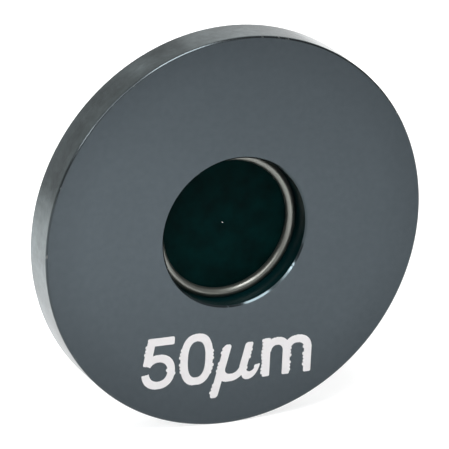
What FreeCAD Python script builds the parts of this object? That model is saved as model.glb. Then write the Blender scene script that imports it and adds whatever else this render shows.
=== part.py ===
"""Mounted pinhole: a thin foil with a round pinhole, held in a turned disc by a split wire ring.

Lengths are millimetres. +Y is the optical axis and points from the front face to the rear face,
+Z is up and +X is to the right when the front face is seen. The origin is on the optical axis,
halfway between the two faces.
"""
import FreeCAD
import Part
import math
import os

# Housing, a turned disc
RIM_DIAMETER = 25.4
THICKNESS = 2.5
RIM_EDGE_BREAK = 0.09
BORE_DIAMETER = 9.65
BORE_MOUTH_CHAMFER = 0.11
LEDGE_THICKNESS = 0.57
CLEAR_APERTURE_DIAMETER = 7.6
APERTURE_EDGE_BREAK = 0.12

# Foil, a plain disc with the pinhole at its middle
FOIL_THICKNESS = 0.0127
PINHOLE_DIAMETER = 0.05

# Retaining ring, a split ring of round spring wire
WIRE_DIAMETER = 0.635
WIRE_END_ROUNDING = 0.08
RING_GAP = 1.2
RING_GAP_ANGLE = 150.0

# Clearances
FOIL_TO_BORE = 0.06
RING_TO_BORE = 0.005
RING_TO_FOIL = 0.005

# Places worked out from the sizes above
RIM_RADIUS = RIM_DIAMETER / 2
BORE_RADIUS = BORE_DIAMETER / 2
APERTURE_RADIUS = CLEAR_APERTURE_DIAMETER / 2
FOIL_RADIUS = BORE_RADIUS - FOIL_TO_BORE
WIRE_RADIUS = WIRE_DIAMETER / 2
RING_RADIUS = BORE_RADIUS - RING_TO_BORE - WIRE_RADIUS
FRONT_Y = -THICKNESS / 2
REAR_Y = THICKNESS / 2
LEDGE_Y = REAR_Y - LEDGE_THICKNESS
FOIL_FRONT_Y = LEDGE_Y - FOIL_THICKNESS
RING_Y = FOIL_FRONT_Y - RING_TO_FOIL - WIRE_RADIUS

ORIGIN = FreeCAD.Vector(0, 0, 0)
OPTICAL_AXIS = FreeCAD.Vector(0, 1, 0)
FULL_TURN = 360.0


def turned(profile):
    """A solid of revolution about the optical axis, from (radius, y) corners in order."""
    corners = [FreeCAD.Vector(radius, y, 0) for radius, y in profile]
    outline = Part.makePolygon(corners + corners[:1])
    return Part.Face(outline).revolve(ORIGIN, OPTICAL_AXIS, FULL_TURN)


def disc(radius, front_y, thickness):
    """A round plate across the optical axis, from its front face backwards."""
    return Part.makeCylinder(radius, thickness, FreeCAD.Vector(0, front_y, 0), OPTICAL_AXIS)


def make_housing():
    """The disc, with its front bore, the ledge that carries the foil and the rear aperture."""
    profile = [
        (BORE_RADIUS + BORE_MOUTH_CHAMFER, FRONT_Y),
        (RIM_RADIUS - RIM_EDGE_BREAK, FRONT_Y),
        (RIM_RADIUS, FRONT_Y + RIM_EDGE_BREAK),
        (RIM_RADIUS, REAR_Y - RIM_EDGE_BREAK),
        (RIM_RADIUS - RIM_EDGE_BREAK, REAR_Y),
        (APERTURE_RADIUS + APERTURE_EDGE_BREAK, REAR_Y),
        (APERTURE_RADIUS, REAR_Y - APERTURE_EDGE_BREAK),
        (APERTURE_RADIUS, LEDGE_Y),
        (BORE_RADIUS, LEDGE_Y),
        (BORE_RADIUS, FRONT_Y + BORE_MOUTH_CHAMFER),
    ]
    return turned(profile)


def make_pinhole_foil():
    """The foil, which lies flat on the ledge, with its pinhole on the optical axis."""
    plate = disc(FOIL_RADIUS, FOIL_FRONT_Y, FOIL_THICKNESS)
    pinhole = disc(PINHOLE_DIAMETER / 2, FOIL_FRONT_Y, FOIL_THICKNESS)
    return plate.cut(pinhole)


def make_retaining_ring():
    """The wire ring on the foil. Its gap is up and to the left, and its cut ends are rounded."""
    gap_turn = math.degrees(RING_GAP / RING_RADIUS)
    section_centre = FreeCAD.Vector(RING_RADIUS, RING_Y, 0)
    section_edge = Part.makeCircle(WIRE_RADIUS, section_centre, FreeCAD.Vector(0, 0, 1))
    section = Part.Face(Part.Wire(section_edge))
    ring = section.revolve(ORIGIN, OPTICAL_AXIS, FULL_TURN - gap_turn)
    cut_ends = [face.Edges[0] for face in ring.Faces if face.Surface.TypeId == "Part::GeomPlane"]
    ring = ring.makeFillet(WIRE_END_ROUNDING, cut_ends)
    ring.rotate(ORIGIN, OPTICAL_AXIS, gap_turn / 2 - RING_GAP_ANGLE)
    return ring


def main():
    pieces = {
        "housing": make_housing(),
        "pinhole_foil": make_pinhole_foil(),
        "retaining_ring": make_retaining_ring(),
    }
    os.makedirs("parts", exist_ok=True)
    for name, shape in pieces.items():
        shape.exportStep("parts/" + name + ".step")
        print(name, "valid", shape.isValid(), "solids", len(shape.Solids), "volume", round(shape.Volume, 5))


main()
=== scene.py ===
"""Looks of a mounted pinhole: its turned housing, its foil, its wire ring, the size mark and the stage.

Everything is in metres in the part's own frame: +Y is the optical axis from the front face to the
rear face, +Z is up and +X is to the right when the front face is seen.
"""

import math

import bmesh
import bpy
import numpy as np
from bpy.props import FloatProperty, FloatVectorProperty, IntProperty, PointerProperty
from mathutils import Matrix, Vector


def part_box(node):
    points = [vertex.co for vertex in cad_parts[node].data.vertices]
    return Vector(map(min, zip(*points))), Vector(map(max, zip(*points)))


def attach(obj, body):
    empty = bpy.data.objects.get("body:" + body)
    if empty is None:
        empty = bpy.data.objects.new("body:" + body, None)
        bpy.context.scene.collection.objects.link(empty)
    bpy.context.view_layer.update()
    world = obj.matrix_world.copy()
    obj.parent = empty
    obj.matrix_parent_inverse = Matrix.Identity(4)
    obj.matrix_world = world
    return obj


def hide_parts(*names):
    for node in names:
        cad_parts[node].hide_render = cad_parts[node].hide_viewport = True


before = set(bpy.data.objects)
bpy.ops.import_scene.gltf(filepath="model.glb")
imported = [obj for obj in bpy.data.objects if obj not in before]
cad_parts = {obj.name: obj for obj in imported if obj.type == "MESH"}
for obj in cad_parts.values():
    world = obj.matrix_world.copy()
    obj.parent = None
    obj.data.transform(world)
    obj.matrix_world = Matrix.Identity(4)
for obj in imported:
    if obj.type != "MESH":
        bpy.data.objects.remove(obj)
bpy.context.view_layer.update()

bl_info = {
    "name": "Mounted pinhole",
    "version": (1, 0, 0),
    "blender": (4, 5, 0),
    "location": "View3D > Sidebar > Pinhole",
    "description": "Builds the housing, foil, ring and size mark of a mounted pinhole, and its stage",
    "category": "Add Mesh",
}

MM = 0.001
ROOT = "root"
WELD_DISTANCE = 1e-7

# Most values of a fractal noise lie in this range
NOISE_RANGE = (0.3, 0.7)

# How often each pattern repeats in a metre, along X, Y and Z
DRIFT = (90, 300, 90)
CLOUDS = (420, 640, 420)
DENTS = (2600, 2600, 2600)
GRAIN = (9000, 9000, 9000)
BLOTCHES = (900, 900, 900)
ROLLING = (400, 400, 14000)
PATCHES = (700, 700, 700)
FOAM = (16000, 16000, 16000)
TOOL_LINES = 60000

# How often the scratches on the wire repeat in a millimetre along it, and in one turn round it
DRAWN = (1.6, 70, 1)

# The share of a step along the axis that counts towards the tool's path, beside a step outwards
AXIAL_SHARE = 0.7

# Painted shade that darkens the faces towards the rim: the tone at the rim, and how far from the rim it
# starts and ends
PAINTED_SHADE_AT_RIM = 0.875
PAINTED_SHADE_START = 2.7 * MM
PAINTED_SHADE_END = 0.2 * MM

# How far each pattern varies the dye's tone, on the faces and on the rim
DRIFT_ON_FACES = (0.97, 1.03)
SPECKLE_ON_FACES = (0.96, 1.04)
CLOUDS_ON_RIM = (0.82, 1.22)
SPECKLE_ON_RIM = (0.89, 1.11)

# Patches on the rim: a lighter haze at 120 degrees, a painted reflection that lightens at 87 degrees and a
# painted shade that darkens at 172 degrees: degrees from +X towards +Z, radius and tone
RIM_HAZE_SHEEN_AND_SHADE = (
    (120, 1.2 * MM, 1.55),
    (87, 2.0 * MM, 1.24),
    (172, 2.0 * MM, 0.80),
)

# The roughness of the metal laid bare in a nick
NICK_ROUGHNESS = 0.5

# The steps in the rounding of a wire end, and the foil's thickness over the radius of its edges
END_STEPS = 6
FOIL_EDGE_SHARE = 6

# The place of the mark on the face and the step of the grid that it is sampled on, in millimetres
MARK_LEFT, MARK_RIGHT = -6.3, 6.0
MARK_BOTTOM, MARK_TOP = -1.7, 3.3
GRID_STEP = 0.004

# The width of a stem over that of the other strokes
STEM = 1.06

# How much the overshoot of the laser varies, its change of phase in a row and in a millimetre across,
# and the share of a spot that has to lie within the figure
UNEVEN = 0.35
ROW_PHASE, ACROSS_PHASE = 5.0, 2.0
HELD = 0.8

WHITE = (1, 1, 1, 1)
WORLD_LIGHT = 0.53
WORLD_SEEN = 1.0
FLOOR_ALBEDO = 0.55

# The floor's glow near the object and far from it, and the distances between which it changes
NEAR_GLOW, FAR_GLOW = 0.56, 0.72
NEAR, FAR = 0.1, 0.5

# Soft lights: name, direction from the disc, distance, width, height and radiance
SOFTBOXES = (
    ("overhead_softbox", (-0.058, -0.46, 0.853), 0.45, 0.21, 0.18, 9.8),
    ("side_strip", (-0.716, -0.53, 0.450), 0.45, 0.04, 0.088, 20.0),
    ("front_strip", (-0.17, -0.76, 0.62), 0.50, 0.58, 0.08, 5.5),
    ("fill_panel", (-0.52, -0.53, 0.65), 0.50, 0.25, 0.20, 1.0),
)
ONLY_REFLECTED = ("front_strip",)

# Pools of light on the floor: name, centre, radius and radiance
POOLS = (
    ("front_pool", (0.005, -0.040), 0.032, 1.15),
    ("rear_pool", (-0.029, 0.034), 0.045, 0.9),
    ("pinhole_pool", (0.0155, 0.0313), 0.006, 0.9),
    ("far_pool", (0.12, 0.20), 0.26, 0.7),
)
POOL_HEIGHT = 0.6
POOL_SOFTNESS = 0.6
LARGEST_SPOT = 0.02

# Dim walls: name, radius, first and last turn, first and last rise, and radiance
WALLS = (
    ("front_wall", 1.20, (-100, 100), (1, 90), 0.30),
    ("rear_wall", 0.15, (-190, -100), (-5, 90), 0.55),
)

# The points along the turn and the rise of a wall, and round the floor, and the radius of its middle
WALL_TURNS, WALL_RISES = 61, 31
FLOOR_TURNS = 65
FLOOR_MIDDLE = 1e-6

SENSOR_WIDTH = 36
NEAREST_SEEN, FARTHEST_SEEN = 0.01, 50

housing_low, housing_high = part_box("housing")
foil_low, foil_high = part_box("pinhole_foil")
ring_low, ring_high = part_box("retaining_ring")


class HousingSettings(bpy.types.PropertyGroup):
    """The turned disc. Its rim and faces come from the frame."""

    bore_clearance: FloatProperty(
        name="Bore clearance", description="Room between the ring and the bore wall",
        default=0.005 * MM, unit="LENGTH", precision=6)
    mouth_chamfer: FloatProperty(
        name="Bore mouth chamfer", description="Width of the chamfer at the bore mouth",
        default=0.11 * MM, unit="LENGTH", precision=6)
    rim_chamfer: FloatProperty(
        name="Rim edge break", description="Width of the chamfer at both edges of the rim",
        default=0.09 * MM, unit="LENGTH", precision=6)
    aperture_radius: FloatProperty(
        name="Clear aperture radius", description="Radius of the rear hole in the ledge",
        default=3.8 * MM, unit="LENGTH", precision=6)
    aperture_chamfer: FloatProperty(
        name="Aperture edge break", description="Width of the chamfer at the rear hole",
        default=0.12 * MM, unit="LENGTH", precision=6)
    rim_rounding: FloatProperty(
        name="Rim edge rounding", description="Radius on both sides of the rim's chamfers",
        default=0.10 * MM, unit="LENGTH", precision=6)
    corner_radius: FloatProperty(
        name="Corner radius", description="Radius left on each other turned corner by the anodising",
        default=0.014 * MM, unit="LENGTH", precision=6)
    segments: IntProperty(
        name="Segments", description="Steps round the disc", default=512, min=64)
    face_colour: FloatVectorProperty(
        name="Face colour", description="Reflection of the dyed oxide on the two faces",
        subtype="COLOR", size=3, default=(0.0610, 0.0742, 0.0833), min=0, max=1)
    rim_colour: FloatVectorProperty(
        name="Rim colour", description="Reflection of the dyed oxide on the rim",
        subtype="COLOR", size=3, default=(0.1145, 0.1365, 0.1415), min=0, max=1)
    bore_colour: FloatVectorProperty(
        name="Bore colour", description="Reflection of the black walls inside the bore",
        subtype="COLOR", size=3, default=(0.0004, 0.0092, 0.0102), min=0, max=1)
    worn_colour: FloatVectorProperty(
        name="Worn edge colour", description="Reflection of the outer edges, where the layer is rubbed",
        subtype="COLOR", size=3, default=(0.057, 0.067, 0.072), min=0, max=1)
    nick_colour: FloatVectorProperty(
        name="Nick colour", description="Reflection of the metal laid bare in small nicks",
        subtype="COLOR", size=3, default=(0.17, 0.18, 0.175), min=0, max=1)
    mouth_colour: FloatVectorProperty(
        name="Bore mouth colour", description="Reflection of the chamfer at the bore mouth",
        subtype="COLOR", size=3, default=(0.054, 0.070, 0.077), min=0, max=1)
    roughness: FloatProperty(
        name="Roughness", description="Roughness of the satin faces",
        subtype="FACTOR", default=0.25, min=0, max=1)
    rim_roughness: FloatProperty(
        name="Rim roughness", description="Roughness of the rim, which is cut finer",
        subtype="FACTOR", default=0.21, min=0, max=1)
    edge_roughness: FloatProperty(
        name="Edge roughness", description="Roughness of the outer edge breaks, which are handled",
        subtype="FACTOR", default=0.20, min=0, max=1)
    mouth_roughness: FloatProperty(
        name="Bore mouth roughness", description="Roughness of the tool-cut chamfer at the bore mouth",
        subtype="FACTOR", default=0.13, min=0, max=1)


class FoilSettings(bpy.types.PropertyGroup):
    """The thin disc with the pinhole. Its outside and thickness come from the frame."""

    pinhole_radius: FloatProperty(
        name="Pinhole radius", description="Radius of the hole on the optical axis",
        default=0.025 * MM, unit="LENGTH", precision=6)
    segments: IntProperty(
        name="Segments", description="Steps round the foil", default=256, min=64)
    colour: FloatVectorProperty(
        name="Foil colour", description="Colour of the matt black oxide",
        subtype="COLOR", size=3, default=(0.0002, 0.0091, 0.0088), min=0, max=1)
    roughness: FloatProperty(
        name="Roughness", description="Roughness of the blackened foil",
        subtype="FACTOR", default=0.62, min=0, max=1)


class RingSettings(bpy.types.PropertyGroup):
    """The split ring of spring wire. Its wire and outside come from the frame."""

    gap: FloatProperty(
        name="Gap", description="Opening between the wire ends, along the wire's middle line",
        default=1.2 * MM, unit="LENGTH", precision=6)
    gap_angle: FloatProperty(
        name="Gap direction", description="Where the gap lies, from +X towards +Z",
        subtype="ANGLE", default=math.radians(150.0))
    end_rounding: FloatProperty(
        name="End rounding", description="Radius on the edge of each wire end",
        default=0.08 * MM, unit="LENGTH", precision=6)
    segments: IntProperty(
        name="Segments", description="Steps along the wire", default=360, min=64)
    sides: IntProperty(
        name="Sides", description="Steps round the wire", default=40, min=12)
    colour: FloatVectorProperty(
        name="Wire colour", description="Reflection of the drawn steel",
        subtype="COLOR", size=3, default=(0.156, 0.163, 0.146), min=0, max=1)
    roughness: FloatProperty(
        name="Roughness", description="Roughness of the drawn wire",
        subtype="FACTOR", default=0.36, min=0, max=1)


class MarkSettings(bpy.types.PropertyGroup):
    """The laser-marked size, fifty micrometres, in plain engraver's figures."""

    stroke: FloatProperty(
        name="Stroke", description="Width of a stroke",
        default=0.505 * MM, unit="LENGTH", precision=6)
    baseline: FloatProperty(
        name="Baseline", description="Height of the strokes' lowest middle line over the axis",
        default=-9.57 * MM, unit="LENGTH", precision=6)
    row_pitch: FloatProperty(
        name="Row pitch", description="Distance between the lines that the mark is built from",
        default=0.025 * MM, unit="LENGTH", precision=6)
    hatch: FloatProperty(
        name="Hatch", description="Distance from one pass of the laser to the next",
        default=0.236 * MM, unit="LENGTH", precision=6)
    spot: FloatProperty(
        name="Spot radius", description="Radius of the spot where a pass starts",
        default=0.125 * MM, unit="LENGTH", precision=6)
    overshoot: FloatProperty(
        name="Overshoot", description="How far that spot stands out over the stroke's edge",
        default=0.095 * MM, unit="LENGTH", precision=6)
    height: FloatProperty(
        name="Height", description="How far the foamed oxide stands over the face",
        default=0.004 * MM, unit="LENGTH", precision=6)
    colour: FloatVectorProperty(
        name="Mark colour", description="Colour of the bleached oxide",
        subtype="COLOR", size=3, default=(0.795, 0.780, 0.788), min=0, max=1)


class StageSettings(bpy.types.PropertyGroup):
    """The camera, the pale floor and the soft lights."""

    camera_distance: FloatProperty(
        name="Camera distance", description="Distance from the camera to the point it looks at",
        default=367.8 * MM, unit="LENGTH", precision=5)
    camera_azimuth: FloatProperty(
        name="Camera azimuth", description="Turn of the camera round the disc, 0 in front",
        subtype="ANGLE", default=math.radians(-25.91))
    camera_elevation: FloatProperty(
        name="Camera elevation", description="Height of the camera over the horizon",
        subtype="ANGLE", default=math.radians(20.09))
    camera_roll: FloatProperty(
        name="Camera roll", description="Turn of the camera about its own line of sight",
        subtype="ANGLE", default=math.radians(2.94))
    focal_length: FloatProperty(
        name="Focal length", description="Lens in millimetres on a 36 mm wide sensor",
        default=479.1, min=1)
    aim: FloatVectorProperty(
        name="Aim point", description="Point of the front face at the middle of the picture",
        subtype="TRANSLATION", size=3, default=(-0.775 * MM, -1.25 * MM, 0.612 * MM))
    floor_drop: FloatProperty(
        name="Floor drop", description="Room between the rim and the floor",
        default=0.0, unit="LENGTH", precision=5)
    floor_radius: FloatProperty(
        name="Floor radius", description="Half width of the floor",
        default=3.0, unit="LENGTH")


def unit(vector):
    """The vector divided by its length."""
    return vector / np.linalg.norm(vector)


def surface(name, points, uv=None, values=None):
    """A closed mesh from a grid of points. Neighbours in the grid make quads, and equal points are welded.

    The first and last row, or column, may repeat one another, or may be one point, and are then joined.
    values maps the name of a point attribute to a number for each point of the grid.
    """
    rows, columns = points.shape[:2]
    first = (np.arange(rows - 1)[:, None] * columns + np.arange(columns - 1)[None, :]).ravel()
    quads = np.stack([first, first + columns, first + columns + 1, first + 1], axis=1)
    mesh = bpy.data.meshes.new(name)
    mesh.from_pydata(points.reshape(-1, 3).tolist(), [], quads.tolist(), shade_flat=False)
    for key, numbers in (values or {}).items():
        layer = mesh.attributes.new(key, "FLOAT", "POINT")
        layer.data.foreach_set("value", numbers.ravel().astype(np.float32))
    if uv is not None:
        layer = mesh.uv_layers.new(name="UVMap")
        layer.data.foreach_set("uv", uv.reshape(-1, 2)[quads.ravel()].astype(np.float32).ravel())
    welded = bmesh.new()
    welded.from_mesh(mesh)
    bmesh.ops.remove_doubles(welded, verts=welded.verts, dist=WELD_DISTANCE)
    welded.to_mesh(mesh)
    welded.free()
    return link(name, mesh)


def link(name, mesh):
    """An object for the mesh, in the scene."""
    piece = bpy.data.objects.new(name, mesh)
    bpy.context.scene.collection.objects.link(piece)
    return piece


def rounded_profile(corners, radii, margin, steps=4):
    """A closed profile with an arc in each corner, and a point a margin before and after each arc.

    The arc starts and ends at its radius times the tangent of half the turn from the corner, and its
    points turn evenly from the one direction to the other. There is one radius for each corner.
    """
    corners = np.asarray(corners, float)
    profile = []
    for i, (corner, radius) in enumerate(zip(corners, radii)):
        arriving = unit(corner - corners[i - 1])
        leaving = unit(corners[(i + 1) % len(corners)] - corner)
        cross = arriving[0] * leaving[1] - arriving[1] * leaving[0]
        turn = math.atan2(cross, arriving @ leaving)
        setback = radius * math.tan(abs(turn) / 2)
        start = corner - arriving * setback
        side = np.array([-arriving[1], arriving[0]]) * math.copysign(1, turn)
        angle = np.linspace(0, abs(turn), steps + 1)[:, None]
        arc = start + radius * (arriving * np.sin(angle) + side * (1 - np.cos(angle)))
        profile += [start - arriving * margin, *arc, arc[-1] + leaving * margin]
    return np.array(profile)


def revolve(profile, segments):
    """The profile carried round the optical axis: (radius cos turn, y, radius sin turn)."""
    closed = np.vstack([profile, profile[:1]])
    turn = np.linspace(0, 2 * math.pi, segments + 1)
    radius = closed[:, 0][:, None]
    return np.stack([radius * np.cos(turn), closed[:, 1][:, None] + 0 * turn, radius * np.sin(turn)], axis=2)


def lean(profile):
    """1 where the profile runs at 45 degrees, as on a chamfer, and 0 on faces and walls."""
    closed = np.vstack([profile, profile[:1]])
    step = np.gradient(closed, axis=0)
    step[0] = step[-1] = closed[1] - closed[-2]
    step /= np.linalg.norm(step, axis=1)[:, None]
    return 2 * np.abs(step[:, 0] * step[:, 1])


class Nodes:
    """A material's node tree, with short calls for what the finishes here are made of."""

    def __init__(self, name):
        self.material = bpy.data.materials.new(name)
        self.material.use_nodes = True
        self.tree = self.material.node_tree
        self.shader = self.tree.nodes["Principled BSDF"]

    def add(self, kind, **settings):
        made = self.tree.nodes.new(kind)
        for key, value in settings.items():
            setattr(made, key, value)
        return made

    def join(self, source, target):
        self.tree.links.new(source, target)

    def feed(self, socket, value):
        """Joins another node's output to the socket, or sets its value, a colour with an alpha of 1."""
        if isinstance(value, bpy.types.NodeSocket):
            self.join(value, socket)
        elif socket.type == "RGBA":
            socket.default_value = (*value, 1)
        else:
            socket.default_value = value

    def stretched(self, scale, source="Object"):
        """The piece's own coordinates, of space or of its UV map, times a scale for each axis."""
        mapping = self.add("ShaderNodeMapping")
        mapping.inputs["Scale"].default_value = scale
        self.join(self.add("ShaderNodeTexCoord").outputs[source], mapping.inputs["Vector"])
        return mapping.outputs["Vector"]

    def away_from(self, middle):
        """The distance from a point of the piece."""
        apart = self.add("ShaderNodeVectorMath", operation="DISTANCE")
        self.join(self.add("ShaderNodeTexCoord").outputs["Object"], apart.inputs[0])
        apart.inputs[1].default_value = middle
        return apart.outputs["Value"]

    def noise(self, place, detail, scale=1.0, kind="3D"):
        """Fractal noise from 0 to 1 at the place."""
        made = self.add("ShaderNodeTexNoise", noise_dimensions=kind)
        made.inputs["Scale"].default_value = scale
        made.inputs["Detail"].default_value = detail
        made.inputs["Roughness"].default_value = 0.55
        self.join(place, made.inputs["W" if kind == "1D" else "Vector"])
        return made.outputs["Fac"]

    def attribute(self, name):
        return self.add("ShaderNodeAttribute", attribute_name=name).outputs["Fac"]

    def spread(self, value, low, high, start=0.0, end=1.0):
        """The value, from start to end, spread over low to high."""
        made = self.add("ShaderNodeMapRange")
        made.inputs["From Min"].default_value = start
        made.inputs["From Max"].default_value = end
        made.inputs["To Min"].default_value = low
        made.inputs["To Max"].default_value = high
        self.join(value, made.inputs["Value"])
        return made.outputs["Result"]

    def vary(self, noise, low, high):
        """The noise spread over low to high."""
        return self.spread(noise, low, high, *NOISE_RANGE)

    def mixed(self, data_type, kind, value, low, high):
        """A mix of low and high by the value, each a constant or another node's output."""
        made = self.add("ShaderNodeMix", data_type=data_type)
        self.join(value, made.inputs["Factor"])
        for key, side in (("A", low), ("B", high)):
            self.feed([s for s in made.inputs if s.name == key and s.type == kind][0], side)
        return [s for s in made.outputs if s.type == kind][0]

    def spread_between(self, value, low, high):
        """A number between low and high."""
        return self.mixed("FLOAT", "VALUE", value, low, high)

    def blend(self, value, low, high):
        """A colour between low and high."""
        return self.mixed("RGBA", "RGBA", value, low, high)

    def scaled(self, colour, factor):
        """The colour times a number."""
        made = self.add("ShaderNodeVectorMath", operation="SCALE")
        self.join(colour, made.inputs[0])
        self.join(factor, made.inputs["Scale"])
        return made.outputs[0]

    def length(self, vector):
        made = self.add("ShaderNodeVectorMath", operation="LENGTH")
        self.join(vector, made.inputs[0])
        return made.outputs["Value"]

    def maths(self, operation, first, second):
        made = self.add("ShaderNodeMath", operation=operation)
        self.feed(made.inputs[0], first)
        self.feed(made.inputs[1], second)
        return made.outputs[0]

    def bump(self, height, distance, under=None):
        """A bump of the height times the distance, on top of an earlier one where given."""
        made = self.add("ShaderNodeBump")
        made.inputs["Strength"].default_value = 1.0
        made.inputs["Distance"].default_value = distance
        self.join(height, made.inputs["Height"])
        if under is not None:
            self.join(under, made.inputs["Normal"])
        return made.outputs["Normal"]

    def finish(self, **sockets):
        """Sets or joins the shader's own sockets, by name with _ for a space."""
        for key, value in sockets.items():
            self.feed(self.shader.inputs[key.replace("_", " ")], value)
        return self.material

    def show(self, light):
        """Makes the light or shader the surface of the material."""
        self.join(light, self.tree.nodes["Material Output"].inputs["Surface"])


def tinted(colour, factor):
    """The colour times a factor, kept within 0 to 1."""
    return tuple(min(1.0, c * factor) for c in colour)


def anodised_finish(settings):
    """Dark satin anodising: even faces, a cloudier rim, black bore walls and chamfers of their own.

    The faces darken a little towards the rim, as painted shade, and the rim has soft cloudy patches, with a
    lighter haze patch and patches of painted reflection and painted shade. The outer chamfers are rubbed,
    with a few bright nicks.
    """
    n = Nodes("anodised_housing")
    rim, bore, edge, mouth = (n.attribute(name) for name in ("rim", "bore", "edge", "mouth"))
    drift = n.noise(n.stretched(DRIFT), 2)
    clouds = n.noise(n.stretched(CLOUDS), 5)
    grain = n.noise(n.stretched(GRAIN), 2)
    dents = n.noise(n.stretched(DENTS), 1)
    tool_lines = n.noise(n.attribute("tool_path"), 2, scale=TOOL_LINES, kind="1D")

    reach = n.length(n.stretched((1, 0, 1)))
    outer_edge = housing_high.x
    # Painted shade: the faces darken towards the rim
    painted_shade = n.spread(reach, 1.0, PAINTED_SHADE_AT_RIM, outer_edge - PAINTED_SHADE_START, outer_edge - PAINTED_SHADE_END)
    speckled = n.maths("MULTIPLY", painted_shade, n.vary(dents, *SPECKLE_ON_FACES))
    even = n.maths("MULTIPLY", speckled, n.vary(drift, *DRIFT_ON_FACES))
    cloudy = n.maths("MULTIPLY", n.vary(clouds, *CLOUDS_ON_RIM), n.vary(dents, *SPECKLE_ON_RIM))
    # The rim's haze patch, and its patches of painted reflection and painted shade
    for degrees, radius, haze_sheen_and_shade_tone in RIM_HAZE_SHEEN_AND_SHADE:
        turn = math.radians(degrees)
        middle = (outer_edge * math.cos(turn), 0, outer_edge * math.sin(turn))
        haze_sheen_and_shade_patch = n.spread(n.away_from(middle), haze_sheen_and_shade_tone, 1.0, 0.0, radius)
        cloudy = n.maths("MULTIPLY", cloudy, haze_sheen_and_shade_patch)
    tone = n.spread_between(rim, even, cloudy)
    faces_and_rim = n.blend(rim, settings.face_colour, settings.rim_colour)
    body = n.scaled(n.blend(bore, faces_and_rim, settings.bore_colour), tone)

    wear = n.maths("MULTIPLY", edge, n.spread(clouds, 0.3, 1.0, 0.35, 0.65))
    nicks = n.maths("MULTIPLY", n.spread(dents, 0, 1, 0.64, 0.76), n.spread(edge, 0, 1, 0.4, 0.8))
    outside = n.blend(nicks, n.blend(wear, body, settings.worn_colour), settings.nick_colour)
    colour = n.blend(mouth, outside, settings.mouth_colour)

    satin = n.spread(rim, settings.roughness, settings.rim_roughness)
    even_satin = n.maths("ADD", satin, n.vary(grain, -0.012, 0.012))
    cut = n.spread(mouth, settings.edge_roughness, settings.mouth_roughness)
    roughness = n.spread_between(nicks, n.spread_between(edge, even_satin, cut), NICK_ROUGHNESS)
    lines = n.bump(tool_lines, 0.0002 * MM)
    return n.finish(
        Base_Color=colour, Metallic=n.spread(bore, 0.92, 0.0), Roughness=roughness,
        Specular_IOR_Level=0.1, Normal=n.bump(grain, 0.0001 * MM, under=lines))


def foil_finish(settings):
    """Matt black oxide on rolled foil: faint rolling lines and soft blotches."""
    n = Nodes("blackened_foil")
    blotches = n.noise(n.stretched(BLOTCHES), 4)
    rolling = n.noise(n.stretched(ROLLING), 3)
    colour = n.blend(n.vary(blotches, 0, 1), tinted(settings.colour, 0.6), tinted(settings.colour, 1.35))
    roughness = n.vary(blotches, settings.roughness - 0.06, settings.roughness + 0.06)
    return n.finish(
        Base_Color=colour, Metallic=0.0, Roughness=roughness, Specular_IOR_Level=0.024,
        Normal=n.bump(rolling, 0.0006 * MM))


def wire_finish(settings):
    """Drawn spring steel: fine scratches along the wire and a slight change of tone."""
    n = Nodes("spring_wire")
    drawn = n.noise(n.stretched(DRAWN, "UV"), 5)
    patches = n.noise(n.stretched(PATCHES), 3)
    colour = n.blend(patches, tinted(settings.colour, 0.85), tinted(settings.colour, 1.12))
    roughness = n.vary(drawn, settings.roughness - 0.08, settings.roughness + 0.1)
    return n.finish(
        Base_Color=colour, Metallic=0.85, Roughness=roughness, Coat_Weight=0.8, Coat_Roughness=0.15,
        Normal=n.bump(drawn, 0.0015 * MM))


def mark_finish(settings):
    """Bleached, slightly foamed oxide: near white, matt and finely grained."""
    n = Nodes("laser_mark")
    foam = n.noise(n.stretched(FOAM), 3)
    colour = n.blend(foam, tinted(settings.colour, 0.93), tinted(settings.colour, 1.04))
    return n.finish(
        Base_Color=colour, Roughness=0.75, Specular_IOR_Level=0.3, Normal=n.bump(foam, 0.003 * MM))


class PINHOLE_OT_housing(bpy.types.Operator):
    """Build the turned and anodised disc"""

    bl_idname = "pinhole.housing"
    bl_label = "Housing"

    def execute(self, context):
        s = context.scene.pinhole_housing
        rim = housing_high.x
        front, rear = housing_low.y, housing_high.y
        bore = ring_high.x + s.bore_clearance
        ledge = foil_high.y
        corners = [
            (bore + s.mouth_chamfer, front),
            (rim - s.rim_chamfer, front),
            (rim, front + s.rim_chamfer),
            (rim, rear - s.rim_chamfer),
            (rim - s.rim_chamfer, rear),
            (s.aperture_radius + s.aperture_chamfer, rear),
            (s.aperture_radius, rear - s.aperture_chamfer),
            (s.aperture_radius, ledge),
            (bore, ledge),
            (bore, front + s.mouth_chamfer),
        ]
        outer = [radius >= rim - s.rim_chamfer for radius, y in corners]
        radii = np.where(outer, s.rim_rounding, s.corner_radius)
        profile = rounded_profile(corners, radii, s.corner_radius)
        points = revolve(profile, s.segments)
        around = np.ones(s.segments + 1)
        closed = np.vstack([profile, profile[:1]])
        path = closed[:, 0] - AXIAL_SHARE * closed[:, 1]
        on_rim = closed[:, 0] > rim - s.rim_chamfer / 2
        in_bore = (closed[:, 0] < bore + s.corner_radius) & (closed[:, 1] > front + s.mouth_chamfer)
        in_bore &= closed[:, 1] < rear - s.aperture_chamfer
        on_mouth = (closed[:, 0] < bore + s.mouth_chamfer) & (closed[:, 1] < front + s.mouth_chamfer)
        piece = surface("turned_housing", points, values={
            "edge": lean(profile)[:, None] * around, "rim": on_rim[:, None] * around,
            "bore": in_bore[:, None] * around, "mouth": on_mouth[:, None] * around,
            "tool_path": path[:, None] * around})
        piece.data.materials.append(anodised_finish(s))
        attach(piece, ROOT)
        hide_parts("housing")
        return {"FINISHED"}


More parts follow.
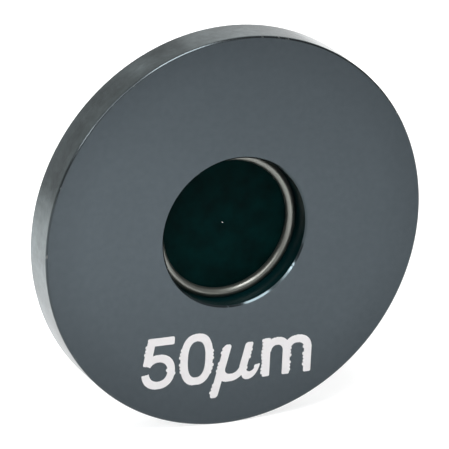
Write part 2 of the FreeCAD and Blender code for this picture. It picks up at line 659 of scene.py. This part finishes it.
class PINHOLE_OT_foil(bpy.types.Operator):
    """Build the blackened foil with its pinhole"""

    bl_idname = "pinhole.foil"
    bl_label = "Foil"

    def execute(self, context):
        s = context.scene.pinhole_foil
        corners = [
            (s.pinhole_radius, foil_low.y),
            (foil_high.x, foil_low.y),
            (foil_high.x, foil_high.y),
            (s.pinhole_radius, foil_high.y),
        ]
        edge_radius = (foil_high.y - foil_low.y) / FOIL_EDGE_SHARE
        profile = rounded_profile(corners, [edge_radius] * 4, edge_radius)
        piece = surface("foil_disc", revolve(profile, s.segments))
        piece.data.materials.append(foil_finish(s))
        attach(piece, ROOT)
        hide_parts("pinhole_foil")
        return {"FINISHED"}


def wire_ring(wire, radius, height, gap, gap_angle, end_rounding, segments, sides):
    """A round wire bent to a circle, less its gap, with rounded ends.

    One parameter runs along the wire's middle line, (radius cos turn, height, radius sin turn), and the
    other round its section. At an end the section shrinks along a quarter circle of the rounding, and
    then to a point.
    """
    half_gap = gap / radius / 2
    turn = gap_angle + np.linspace(half_gap, 2 * math.pi - half_gap, segments + 1)
    depth = end_rounding / radius
    body = turn[(turn > turn[0] + depth) & (turn < turn[-1] - depth)]
    quarter = np.linspace(0, math.pi / 2, END_STEPS + 1)[:-1]
    inwards = depth * (1 - np.cos(quarter))
    end_sizes = wire - end_rounding * (1 - np.sin(quarter))
    along = np.concatenate([turn[:1], turn[0] + inwards, body, (turn[-1] - inwards)[::-1], turn[-1:]])
    size = np.concatenate([[0], end_sizes, np.full(len(body), wire), end_sizes[::-1], [0]])
    section = np.linspace(0, 2 * math.pi, sides + 1)
    reach_out = radius + size[:, None] * np.cos(section)
    points = np.stack([
        reach_out * np.cos(along)[:, None],
        height + size[:, None] * np.sin(section),
        reach_out * np.sin(along)[:, None]], axis=2)
    uv = np.stack(np.meshgrid(along * radius / MM, section / (2 * math.pi), indexing="ij"), axis=2)
    return points, uv


class PINHOLE_OT_ring(bpy.types.Operator):
    """Build the split wire ring that holds the foil down"""

    bl_idname = "pinhole.ring"
    bl_label = "Retaining ring"

    def execute(self, context):
        s = context.scene.pinhole_ring
        wire = (ring_high.y - ring_low.y) / 2
        radius, height = ring_high.x - wire, ring_low.y + wire
        points, uv = wire_ring(
            wire, radius, height, s.gap, s.gap_angle, s.end_rounding, s.segments, s.sides)
        piece = surface("wire_ring", points, uv=uv)
        piece.data.materials.append(wire_finish(s))
        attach(piece, ROOT)
        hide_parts("retaining_ring")
        return {"FINISHED"}


def bar(x, z, start, end, stroke, ease=0.17):
    """Where a straight stroke covers the points (x, z), in millimetres.

    Its square ends have corners rounded by a share, ease, of the stroke.
    """
    start, end = np.array(start), np.array(end)
    run = unit(end - start)
    half = np.linalg.norm(end - start) / 2
    middle = (start + end) / 2
    along = np.abs((x - middle[0]) * run[0] + (z - middle[1]) * run[1])
    across = np.abs((z - middle[1]) * run[0] - (x - middle[0]) * run[1])
    radius = stroke * ease
    past = np.hypot(np.maximum(along - half + radius, 0), np.maximum(across - stroke / 2 + radius, 0))
    return past <= radius


def bow(x, z, centre, half_width, half_height, start, end, stroke, power=2.2, side=1.0):
    """Where a curved stroke covers the points: between two superellipses, from one angle to another.

    The stroke is side times as wide at its left and right as at its top and bottom.
    """
    dx, dz = x - centre[0], z - centre[1]
    wide, high = stroke / 2 * side, stroke / 2
    outside = np.abs(dx / (half_width + wide)) ** power + np.abs(dz / (half_height + high)) ** power
    inside = np.abs(dx / (half_width - wide)) ** power + np.abs(dz / (half_height - high)) ** power
    angle = (np.degrees(np.arctan2(dz, dx)) - start) % 360
    return (outside <= 1) & (inside >= 1) & (angle <= end - start)


def figure_five(x, z, w):
    """The figure 5: a bar, a leaning stem and an open bowl."""
    flag = bar(x, z, (-5.60, 2.90), (-3.78, 2.90), w)
    stem = bar(x, z, (-5.33, 2.95), (-5.61, 1.33), STEM * w)
    bowl = bow(x, z, (-4.81, 0.90), 0.88, 0.89, -172, 150, w)
    return flag | stem | bowl


def figure_nought(x, z, w):
    """The figure 0, a tall rounded ring."""
    return bow(x, z, (-2.22, 1.43), 0.85, 1.45, 0, 360, w, 2.5)


def letter_mu(x, z, w):
    """The letter for a millionth, leaning 14 degrees, with a long left stem and a short tail."""
    x = x - z * math.tan(math.radians(14))
    long_stem = bar(x, z, (-0.63, 2.16), (-0.63, -1.32), STEM * w, 0.4)
    bowl = bow(x, z, (0.12, 0.66), 0.75, 0.73, 180, 360, w)
    short_stem = bar(x, z, (0.865, 2.16), (0.865, 0.5), STEM * w, 0.3)
    tail = bow(x, z, (1.41, 0.57), 0.45, 0.63, 180, 367, w, side=0.6)
    return long_stem | bowl | short_stem | tail


def letter_m(x, z, w):
    """The letter m, with square feet and two round arches."""
    strokes = bar(x, z, (2.59, 2.25), (2.59, -0.28), w)
    for middle, half_width in ((3.30, 0.66), (4.71, 0.73)):
        strokes |= bow(x, z, (middle, 1.29), half_width, 0.71, 0, 175, w)
        strokes |= bar(x, z, (middle + half_width, 1.5), (middle + half_width, -0.28), w)
    return strokes


FIGURES = (figure_five, figure_nought, letter_mu, letter_m)


def hatch_spots(figure, across, stroke, hatch, spot, overshoot, bottom, top):
    """The middle (x, z) of the spot where the beam starts each hatch row of a figure, in millimetres.

    The beam goes to and fro, so in each row it enters the first stroke on its left and the next on its
    right. A spot that would stand out over or under the figure is left out. The overshoot varies a little.
    """
    rows = np.arange(math.ceil(bottom / hatch), math.ceil(top / hatch)) * hatch
    change = np.diff(figure(across, rows[:, None], stroke).astype(int), axis=1, prepend=0, append=0)
    row, left = np.nonzero(change == 1)
    right = np.nonzero(change == -1)[1]
    goes_right = (np.arange(len(row)) - np.searchsorted(row, row)) % 2 == 0
    x, z = across[np.where(goes_right, left, right - 1)], rows[row]
    uneven = overshoot * (1 + UNEVEN * np.sin(ROW_PHASE * row + ACROSS_PHASE * x))
    x = x + np.where(goes_right, 1, -1) * (spot - uneven)
    held = figure(x, z - HELD * spot, stroke) & figure(x, z + HELD * spot, stroke)
    return np.stack([x, z], axis=1)[held]


def laser_rows(settings):
    """The rows of the mark, each a run (left, right, bottom, top) in metres.

    The figures are sampled on a fine grid, and a round spot is added where the beam starts each hatch
    row, standing out over the edge of the stroke. A run starts where a line of the grid enters the mark
    and ends where it leaves it.
    """
    s = settings
    pitch, hatch, stroke, spot, overshoot = (
        length / MM for length in (s.row_pitch, s.hatch, s.stroke, s.spot, s.overshoot))
    height = np.arange(MARK_BOTTOM, MARK_TOP, pitch)
    across = np.arange(MARK_LEFT, MARK_RIGHT, GRID_STEP)
    x, z = np.meshgrid(across, height)
    marked = np.zeros(x.shape, bool)
    for figure in FIGURES:
        marked |= figure(x, z, stroke)
        spots = hatch_spots(figure, across, stroke, hatch, spot, overshoot, height[0], height[-1])
        for middle in spots:
            marked |= (x - middle[0]) ** 2 + (z - middle[1]) ** 2 <= spot ** 2
    change = np.diff(marked.astype(int), axis=1, prepend=0, append=0)
    row, left = np.nonzero(change == 1)
    right = np.nonzero(change == -1)[1]
    bottom = height[row] - pitch / 2
    return np.stack([across[left], across[0] + right * GRID_STEP, bottom, bottom + pitch], axis=1) * MM


class PINHOLE_OT_mark(bpy.types.Operator):
    """Build the size mark from laser rows"""

    bl_idname = "pinhole.mark"
    bl_label = "Size mark"

    def execute(self, context):
        s = context.scene.pinhole_mark
        left, right, bottom, top = laser_rows(s).T
        face = housing_low.y
        near, far = face - s.height, face + s.height
        x = np.stack([left, right, right, left] * 2, axis=1)
        z = np.stack([bottom, bottom, top, top] * 2, axis=1) + s.baseline
        y = np.tile([near] * 4 + [far] * 4, (len(left), 1))
        corners = np.stack([x, y, z], axis=2).reshape(-1, 3)
        box = np.array([[0, 1, 2, 3], [7, 6, 5, 4], [0, 4, 5, 1], [1, 5, 6, 2], [2, 6, 7, 3], [3, 7, 4, 0]])
        quads = (np.arange(len(left))[:, None, None] * 8 + box).reshape(-1, 4)
        mesh = bpy.data.meshes.new("size_mark")
        mesh.from_pydata(corners.tolist(), [], quads.tolist())
        piece = link("size_mark", mesh)
        piece.data.materials.append(mark_finish(s))
        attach(piece, ROOT)
        return {"FINISHED"}


def look_from(direction, roll=0.0):
    """The turn of a camera or light that looks against a direction, with its top up."""
    back = Vector(direction).normalized()
    right = Vector((0, 0, 1)).cross(back).normalized()
    up = back.cross(right)
    turn = Matrix((right, up, back)).transposed()
    return (turn @ Matrix.Rotation(roll, 3, "Z")).to_4x4()


def softbox(name, direction, distance, width, height, radiance):
    """A soft area light at a distance from the disc, facing it. Radiance 1 is as bright as white paper."""
    lamp = bpy.data.lights.new(name, "AREA")
    lamp.shape = "RECTANGLE"
    lamp.size, lamp.size_y = width, height
    lamp.energy = radiance * math.pi * width * height
    holder = bpy.data.objects.new(name, lamp)
    bpy.context.scene.collection.objects.link(holder)
    place = Matrix.Translation(Vector(direction).normalized() * distance)
    holder.matrix_world = place @ look_from(direction)
    holder.visible_diffuse = name not in ONLY_REFLECTED


def pool_light(name, centre, radius, radiance, ground):
    """A spotlight from above that lifts the floor's brightness in a round pool, most in its middle.

    The floor there gains the radiance. The power is what a point source needs for that at its distance.
    It casts no shadow, because it stands for light that comes from all round.
    """
    lamp = bpy.data.lights.new(name, "SPOT")
    lamp.spot_size = 2 * math.atan(radius / POOL_HEIGHT)
    lamp.spot_blend = 1.0
    lamp.shadow_soft_size = min(LARGEST_SPOT, POOL_SOFTNESS * radius)
    lamp.use_shadow = False
    lamp.energy = radiance * 4 * math.pi ** 2 * POOL_HEIGHT ** 2 / FLOOR_ALBEDO
    holder = bpy.data.objects.new(name, lamp)
    bpy.context.scene.collection.objects.link(holder)
    holder.location = Vector((*centre, ground + POOL_HEIGHT))
    holder.visible_glossy = False


def dark_wall(name, radius, turns, rises, radiance):
    """A dim part of a dome round the disc, seen only by reflection: a dark side of the studio.

    A point is radius times (cos rise sin turn, -cos rise cos turn, sin rise). A turn of 0 is in front,
    90 degrees to the right, and -90 to the left.
    """
    turn = np.radians(np.linspace(*turns, WALL_TURNS))
    rise = np.radians(np.linspace(*rises, WALL_RISES))[:, None]
    points = radius * np.stack([
        np.cos(rise) * np.sin(turn), -np.cos(rise) * np.cos(turn), np.sin(rise) + 0 * turn], axis=2)
    wall = surface(name, points)
    n = Nodes(name)
    glow = n.add("ShaderNodeEmission")
    glow.inputs["Strength"].default_value = radiance
    n.show(glow.outputs[0])
    wall.data.materials.append(n.material)
    wall.visible_camera = wall.visible_diffuse = False
    wall.visible_shadow = wall.visible_transmission = False


def background_factor(tree):
    """1 for rays that see the background, from the camera or by way of a shiny or clear surface."""
    path = tree.nodes.new("ShaderNodeLightPath")
    total = path.outputs["Is Camera Ray"]
    for name in ("Is Glossy Ray", "Is Transmission Ray"):
        either = tree.nodes.new("ShaderNodeMath")
        either.operation = "MAXIMUM"
        tree.links.new(total, either.inputs[0])
        tree.links.new(path.outputs[name], either.inputs[1])
        total = either.outputs[0]
    return total


def make_world():
    """White where it is seen, and softer where it only lights the object."""
    world = bpy.data.worlds.new("studio")
    bpy.context.scene.world = world
    world.use_nodes = True
    tree = world.node_tree
    light = tree.nodes["Background"]
    seen = tree.nodes.new("ShaderNodeBackground")
    for background, strength in ((light, WORLD_LIGHT), (seen, WORLD_SEEN)):
        background.inputs["Color"].default_value = WHITE
        background.inputs["Strength"].default_value = strength
    mixed = tree.nodes.new("ShaderNodeMixShader")
    tree.links.new(background_factor(tree), mixed.inputs["Fac"])
    tree.links.new(light.outputs[0], mixed.inputs[1])
    tree.links.new(seen.outputs[0], mixed.inputs[2])
    tree.links.new(mixed.outputs[0], tree.nodes["World Output"].inputs["Surface"])


def make_floor(radius, ground):
    """A flat pale disc under the object, with points (distance sin turn, distance cos turn, ground).

    It glows a little to the camera and in reflections, and more far away, so that it meets the white world.
    """
    turn = np.linspace(0, 2 * math.pi, FLOOR_TURNS)
    distance = np.array([FLOOR_MIDDLE, radius])[:, None]
    points = np.stack([
        distance * np.sin(turn), distance * np.cos(turn), ground + 0 * distance * turn], axis=2)
    floor = surface("floor", points)
    n = Nodes("pale_floor")
    n.finish(Base_Color=(FLOOR_ALBEDO,) * 3, Roughness=0.9, Specular_IOR_Level=0.1)
    away = n.length(n.add("ShaderNodeTexCoord").outputs["Object"])
    level = n.spread(away, NEAR_GLOW, FAR_GLOW, NEAR, FAR)
    glow = n.add("ShaderNodeEmission")
    n.join(n.maths("MULTIPLY", background_factor(n.tree), level), glow.inputs["Strength"])
    both = n.add("ShaderNodeAddShader")
    n.join(n.shader.outputs[0], both.inputs[0])
    n.join(glow.outputs[0], both.inputs[1])
    n.show(both.outputs[0])
    floor.data.materials.append(n.material)


def make_camera(settings):
    """A camera on a line from the aim point, given by its turn, rise, roll and distance."""
    s = settings
    level = math.cos(s.camera_elevation)
    direction = Vector((
        math.sin(s.camera_azimuth) * level, -math.cos(s.camera_azimuth) * level,
        math.sin(s.camera_elevation)))
    camera = bpy.data.cameras.new("camera")
    camera.sensor_width = SENSOR_WIDTH
    camera.lens = s.focal_length
    camera.clip_start, camera.clip_end = NEAREST_SEEN, FARTHEST_SEEN
    holder = bpy.data.objects.new("camera", camera)
    bpy.context.scene.collection.objects.link(holder)
    place = Matrix.Translation(Vector(s.aim) + direction * s.camera_distance)
    holder.matrix_world = place @ look_from(direction, s.camera_roll)
    bpy.context.scene.camera = holder


class PINHOLE_OT_stage(bpy.types.Operator):
    """Set up the floor, the soft lights and the camera"""

    bl_idname = "pinhole.stage"
    bl_label = "Stage"

    def execute(self, context):
        s = context.scene.pinhole_stage
        context.scene.view_settings.view_transform = "Standard"
        ground = housing_low.z - s.floor_drop
        make_world()
        make_floor(s.floor_radius, ground)
        for light in SOFTBOXES:
            softbox(*light)
        for pool in POOLS:
            pool_light(*pool, ground)
        for wall in WALLS:
            dark_wall(*wall)
        make_camera(s)
        return {"FINISHED"}


SETTINGS = {
    "pinhole_housing": HousingSettings,
    "pinhole_foil": FoilSettings,
    "pinhole_ring": RingSettings,
    "pinhole_mark": MarkSettings,
    "pinhole_stage": StageSettings,
}
OPERATORS = (PINHOLE_OT_housing, PINHOLE_OT_foil, PINHOLE_OT_ring, PINHOLE_OT_mark, PINHOLE_OT_stage)


class PINHOLE_PT_panel(bpy.types.Panel):
    """Lists what the add-on builds, with its sizes and colours"""

    bl_label = "Mounted pinhole"
    bl_space_type = "VIEW_3D"
    bl_region_type = "UI"
    bl_category = "Pinhole"

    def draw(self, context):
        for (key, group), operator in zip(SETTINGS.items(), OPERATORS):
            column = self.layout.box().column()
            column.operator(operator.bl_idname)
            settings = getattr(context.scene, key)
            for name in group.__annotations__:
                column.prop(settings, name)


def register():
    for group in SETTINGS.values():
        bpy.utils.register_class(group)
    for key, group in SETTINGS.items():
        setattr(bpy.types.Scene, key, PointerProperty(type=group))
    for item in (*OPERATORS, PINHOLE_PT_panel):
        bpy.utils.register_class(item)


def unregister():
    for item in reversed((*OPERATORS, PINHOLE_PT_panel)):
        bpy.utils.unregister_class(item)
    for key in SETTINGS:
        delattr(bpy.types.Scene, key)
    for group in SETTINGS.values():
        bpy.utils.unregister_class(group)


def main():
    register()
    bpy.ops.pinhole.stage()
    bpy.ops.pinhole.housing()
    bpy.ops.pinhole.foil()
    bpy.ops.pinhole.ring()
    bpy.ops.pinhole.mark()


if __name__ == "__main__":
    main()
